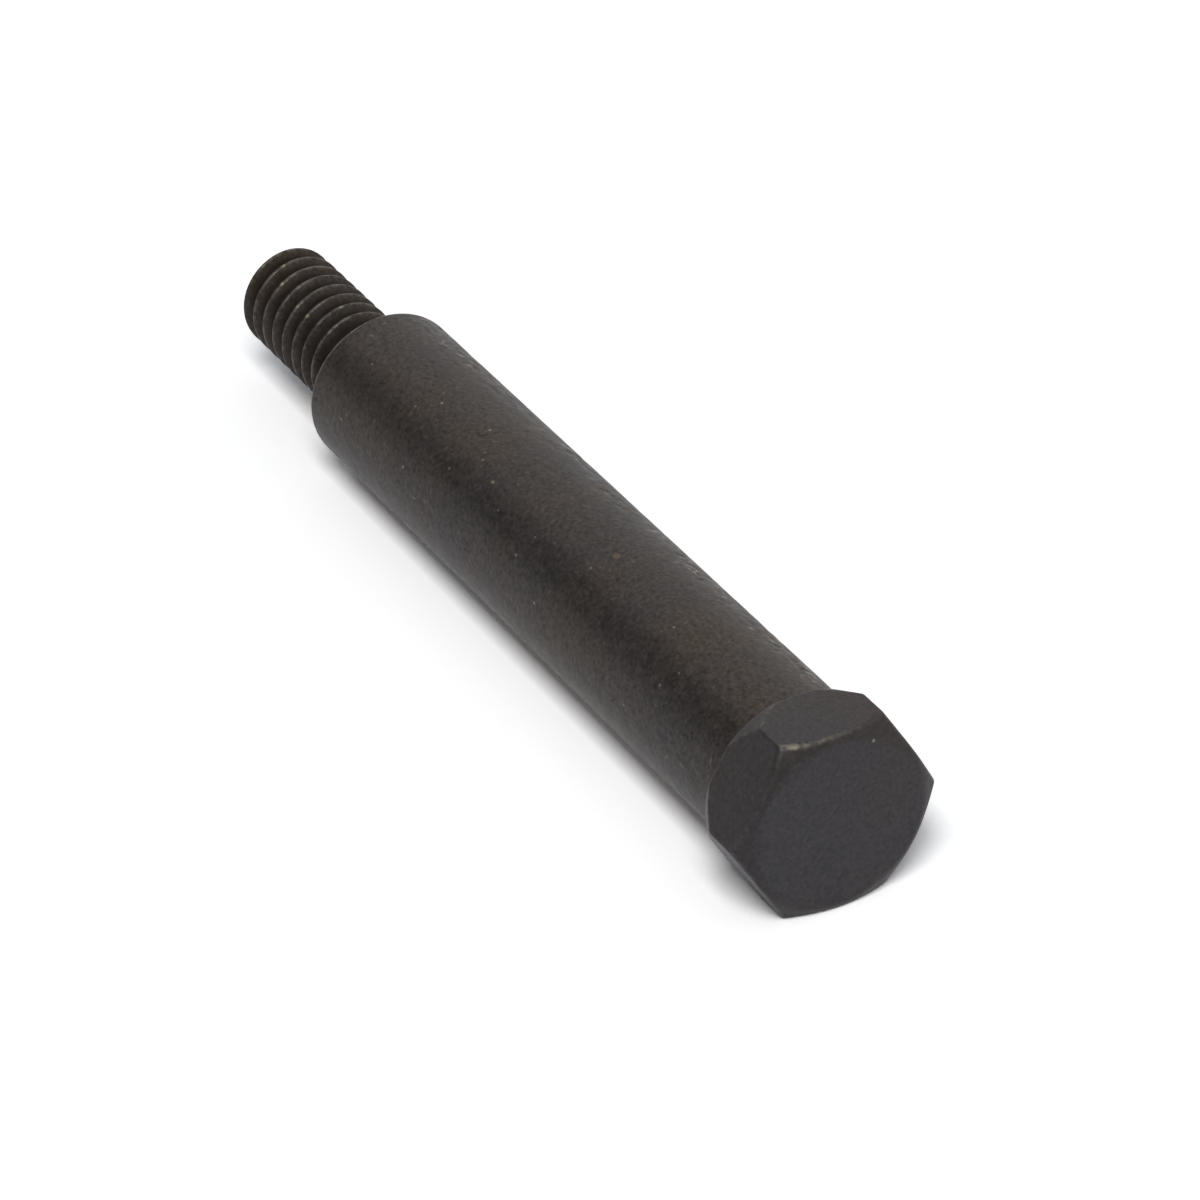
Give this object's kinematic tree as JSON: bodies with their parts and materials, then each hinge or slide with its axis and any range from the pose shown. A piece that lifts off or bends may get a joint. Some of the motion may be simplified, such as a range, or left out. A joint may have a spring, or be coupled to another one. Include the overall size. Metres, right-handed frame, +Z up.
{
  "type": "hex-head shoulder screw",
  "caption": "Black-oxide steel shoulder screw with a double-chamfered hex head, a long plain shoulder and a short coarse thread, lying at rest.",
  "frame": {"origin": "on the floor, below the middle of the screw as it lies at rest", "axes": "X runs along the screw, thread towards -X and head towards +X; Z is up; Y is across the screw, with the front at -Y"},
  "size_m": [0.0642, 0.0124, 0.0107],
  "materials": {
    "black_oxide_steel": "black oxide, satin, lightly worn"
  },
  "bodies": {
    "root": {"shoulder_screw": "black_oxide_steel"}
  },
  "joints": []
}
